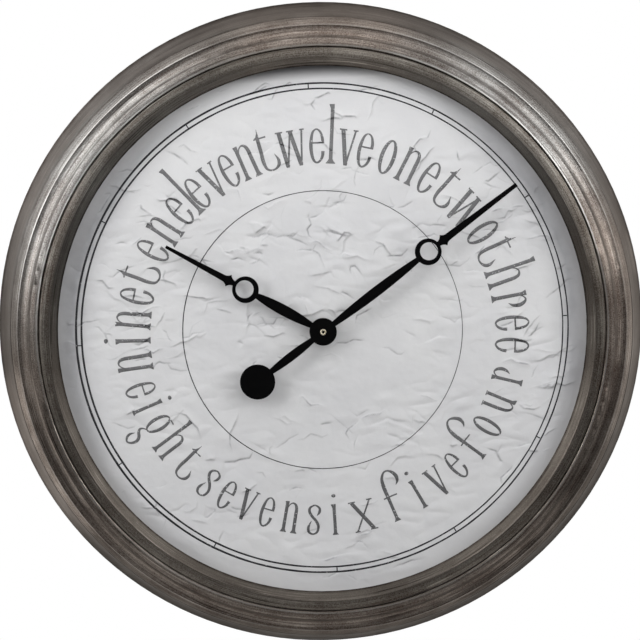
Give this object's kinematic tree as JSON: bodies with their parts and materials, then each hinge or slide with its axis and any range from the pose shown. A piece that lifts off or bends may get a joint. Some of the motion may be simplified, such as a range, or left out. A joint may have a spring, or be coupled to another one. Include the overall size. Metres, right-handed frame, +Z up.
{
  "type": "wall clock",
  "caption": "Round wall clock with a stepped pewter-finish metal frame, a creased paper dial with the hours in words, and two black hands.",
  "frame": {"origin": "on the clock's axis, on the wall plane that the rear rim lies on", "axes": "+Y into the wall, -Y the way the dial faces, +Z up to 12 o'clock, +X to the right as seen from the front"},
  "size_m": [0.61, 0.0579, 0.61],
  "materials": {
    "frame_metal": "aged pewter, spun and brushed round, with darker grooves",
    "bezel_metal": "aged pewter, spun and brushed round",
    "fibreboard": "raw fibreboard",
    "dial_paper": "matt pale grey paper, creased, printed in grey",
    "plated_steel": "zinc plated",
    "movement_plastic": "moulded, fine grain",
    "brass": "turned",
    "hand_nut_brass": "turned, worn bright",
    "rubber": "matt",
    "cell_jacket": "plain sleeve, no print",
    "circuit_laminate": "green laminate",
    "chip_resin": "cast resin",
    "core_iron": "annealed",
    "coil_wire": "enamelled copper winding",
    "wheel_plastic": "natural moulding resin",
    "knob_plastic": "moulded, knurled",
    "magnet": "bonded magnet",
    "hand_black": "matt black paint"
  },
  "bodies": {
    "clock": {"outer_case": "frame_metal", "inner_bezel": "bezel_metal", "dial_board": "fibreboard", "dial_paper": "dial_paper", "board_clips": "plated_steel", "clip_screws": "plated_steel", "hanger_plate": "plated_steel", "hanger_rivets": "plated_steel", "movement_case_front": "movement_plastic", "movement_case_rear": "movement_plastic", "threaded_bushing": "brass", "cushion_washer": "rubber", "fixing_washer": "brass", "fixing_nut": "brass", "battery_cell": "cell_jacket", "positive_contact": "plated_steel", "negative_contact": "plated_steel", "circuit_board": "circuit_laminate", "timing_chip": "chip_resin", "crystal_can": "plated_steel", "stator": "core_iron", "coil_core": "core_iron", "coil": "coil_wire"},
    "minute": {"minute_arbor": "brass", "centre_wheel": "wheel_plastic", "minute_hand": "hand_black", "hand_nut": "hand_nut_brass"},
    "hour": {"hour_wheel": "wheel_plastic", "hour_hand": "hand_black", "hour_collet": "brass"},
    "motion": {"motion_wheel": "wheel_plastic"},
    "setting": {"setting_knob": "knob_plastic", "setting_shaft": "wheel_plastic"},
    "third": {"third_wheel": "wheel_plastic"},
    "fourth": {"fourth_wheel": "wheel_plastic"},
    "step": {"step_wheel": "wheel_plastic"},
    "rotor": {"rotor": "wheel_plastic", "rotor_magnet": "magnet"}
  },
  "joints": [
    {"name": "minute_turn", "type": "hinge", "parent": "clock", "child": "minute", "pos_m": [0, -0.025, 0], "axis": [0, 1, 0], "continuous": true},
    {"name": "hour_turn", "type": "hinge", "parent": "clock", "child": "hour", "pos_m": [0, -0.025, 0], "axis": [0, 1, 0], "continuous": true},
    {"name": "motion_turn", "type": "hinge", "parent": "clock", "child": "motion", "pos_m": [0.0096, -0.025, 0], "axis": [0, 1, 0], "continuous": true},
    {"name": "setting_turn", "type": "hinge", "parent": "clock", "child": "setting", "pos_m": [0.01862, -0.025, -0.00328], "axis": [0, 1, 0], "continuous": true},
    {"name": "third_turn", "type": "hinge", "parent": "clock", "child": "third", "pos_m": [-0.00573, -0.025, 0.00683], "axis": [0, 1, 0], "continuous": true},
    {"name": "fourth_turn", "type": "hinge", "parent": "clock", "child": "fourth", "pos_m": [-0.00163, -0.025, 0.01171], "axis": [0, 1, 0], "continuous": true},
    {"name": "step_turn", "type": "hinge", "parent": "clock", "child": "step", "pos_m": [0.00457, -0.025, 0.0128], "axis": [0, 1, 0], "continuous": true},
    {"name": "rotor_turn", "type": "hinge", "parent": "clock", "child": "rotor", "pos_m": [0.00901, -0.025, 0.01202], "axis": [0, 1, 0], "continuous": true}
  ],
  "couplings": [
    {"joint": "hour_turn", "follows": "minute_turn", "ratio": 0.083333},
    {"joint": "motion_turn", "follows": "minute_turn", "ratio": -0.33333},
    {"joint": "setting_turn", "follows": "minute_turn", "ratio": 1},
    {"joint": "third_turn", "follows": "minute_turn", "ratio": -8},
    {"joint": "fourth_turn", "follows": "minute_turn", "ratio": 60},
    {"joint": "step_turn", "follows": "minute_turn", "ratio": -360},
    {"joint": "rotor_turn", "follows": "minute_turn", "ratio": 1800}
  ]
}
